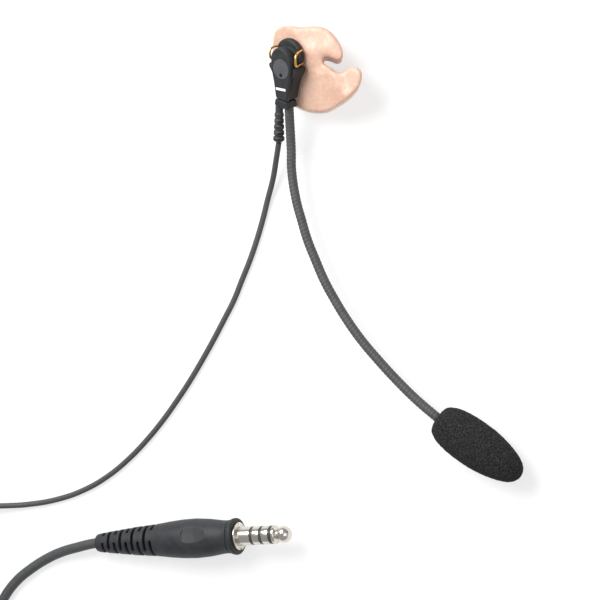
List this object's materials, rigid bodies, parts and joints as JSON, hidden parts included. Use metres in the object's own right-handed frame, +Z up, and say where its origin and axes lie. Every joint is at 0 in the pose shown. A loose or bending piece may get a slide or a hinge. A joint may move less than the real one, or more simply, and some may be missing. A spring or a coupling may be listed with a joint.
{
  "type": "headset microphone",
  "caption": "Single-ear headset: custom ear mould, clip-on earphone, ribbed gooseneck boom with foam windscreen, thin lead, and a four-pole headset plug.",
  "frame": {"origin": "bottom centre of the headset without its lead and plug, laid on a table", "axes": "+Z up from the table, +Y from the windscreen towards the ear mould, +X from the plug lead side towards the windscreen"},
  "size_m": [0.2879, 0.2441, 0.0254],
  "materials": {
    "black_plastic": "satin, charcoal",
    "grey_plastic": "satin, mid grey",
    "boom_sleeve": "ribbed, dark grey",
    "lead_jacket": "matt, dark grey",
    "plug_moulding": "satin, charcoal",
    "foam": "open-cell foam, matt black",
    "mould_silicone": "satin, flesh colour",
    "clear_plastic": "clear adapter plastic",
    "gold_wire": "polished",
    "nickel": "bright nickel",
    "insulator": "dark, smooth",
    "board": "green board",
    "gasket": "soft"
  },
  "bodies": {
    "head": {"front_cover": "black_plastic", "sound_port_disc": "grey_plastic", "rear_housing": "black_plastic", "circuit_board": "board", "driver_can": "nickel", "driver_gasket": "gasket", "coupler_flange": "black_plastic", "sound_spout": "black_plastic", "yoke_boot": "black_plastic", "boom_ferrule": "nickel", "strain_relief": "black_plastic", "boom_base": "boom_sleeve", "thin_lead": "lead_jacket", "cable_joint": "plug_moulding", "plug_lead_feed": "lead_jacket", "lead_coil": "lead_jacket", "plug_lead": "lead_jacket", "plug_handle": "plug_moulding", "plug_collar": "plug_moulding", "plug_nut": "nickel", "plug_sleeve": "nickel", "insulator_ring_1": "insulator", "ring_contact_1": "nickel", "insulator_ring_2": "insulator", "ring_contact_2": "nickel", "insulator_ring_3": "insulator", "plug_tip": "nickel", "plug_rod": "nickel"},
    "latch_left": {"latch_wire_left": "gold_wire"},
    "latch_right": {"latch_wire_right": "gold_wire"},
    "adapter": {"mould_ring": "clear_plastic"},
    "mould": {"ear_mould": "mould_silicone", "sound_tube": "clear_plastic"},
    "boom_1": {"boom_link_1": "boom_sleeve"},
    "boom_2": {"boom_link_2": "boom_sleeve"},
    "boom_3": {"boom_link_3": "boom_sleeve"},
    "boom_4": {"boom_link_4": "boom_sleeve"},
    "mic": {"boom_link_5": "boom_sleeve", "boom_tip_collar": "black_plastic", "mic_housing_rear": "black_plastic", "mic_housing_front": "black_plastic", "mic_capsule": "nickel", "mic_gasket": "gasket", "mic_grille": "nickel"},
    "windscreen_body": {"windscreen": "foam"}
  },
  "joints": [
    {"name": "latch_left_squeeze", "type": "hinge", "parent": "head", "child": "latch_left", "pos_m": [-0.04309, 0.07591, 0.01653], "axis": [0.0982, 0.9345, 0.342], "range_deg": [0, 12], "stiffness_Nm_per_rad": 0.05},
    {"name": "latch_right_squeeze", "type": "hinge", "parent": "head", "child": "latch_right", "pos_m": [-0.03218, 0.0736, 0.01971], "axis": [-0.0982, -0.9345, -0.342], "range_deg": [0, 12], "stiffness_Nm_per_rad": 0.05},
    {"name": "mould_release", "type": "slide", "parent": "head", "child": "adapter", "axis": [0.325, 0.2947, -0.8986], "range_m": [0, 0.008]},
    {"name": "mould_turn", "type": "hinge", "parent": "adapter", "child": "mould", "pos_m": [-0.0373, 0.0748, 0.01703], "axis": [-0.325, -0.2947, 0.8986], "range_deg": [-30, 30]},
    {"name": "boom_bend_1", "type": "hinge", "parent": "head", "child": "boom_1", "pos_m": [-0.04123, 0.03215, 0.00871], "axis": [0, 0, 1], "range_deg": [-15, 30]},
    {"name": "boom_lift_2", "type": "hinge", "parent": "boom_1", "child": "boom_2", "pos_m": [-0.0362, 0.00977, 0.0087], "axis": [0.9555, 0.2951, 0], "range_deg": [-30, 0]},
    {"name": "boom_bend_3", "type": "hinge", "parent": "boom_2", "child": "boom_3", "pos_m": [-0.02714, -0.01134, 0.0087], "axis": [0, 0, 1], "range_deg": [-25, 25]},
    {"name": "boom_lift_4", "type": "hinge", "parent": "boom_3", "child": "boom_4", "pos_m": [-0.0144, -0.03046, 0.0087], "axis": [0.7821, 0.6231, 0], "range_deg": [-30, 0]},
    {"name": "boom_bend_5", "type": "hinge", "parent": "boom_4", "child": "mic", "pos_m": [0.00131, -0.04724, 0.0087], "axis": [0, 0, 1], "range_deg": [-25, 25]},
    {"name": "windscreen_pull", "type": "slide", "parent": "mic", "child": "windscreen_body", "axis": [0.843, -0.538, 0], "range_m": [0, 0.02]}
  ]
}
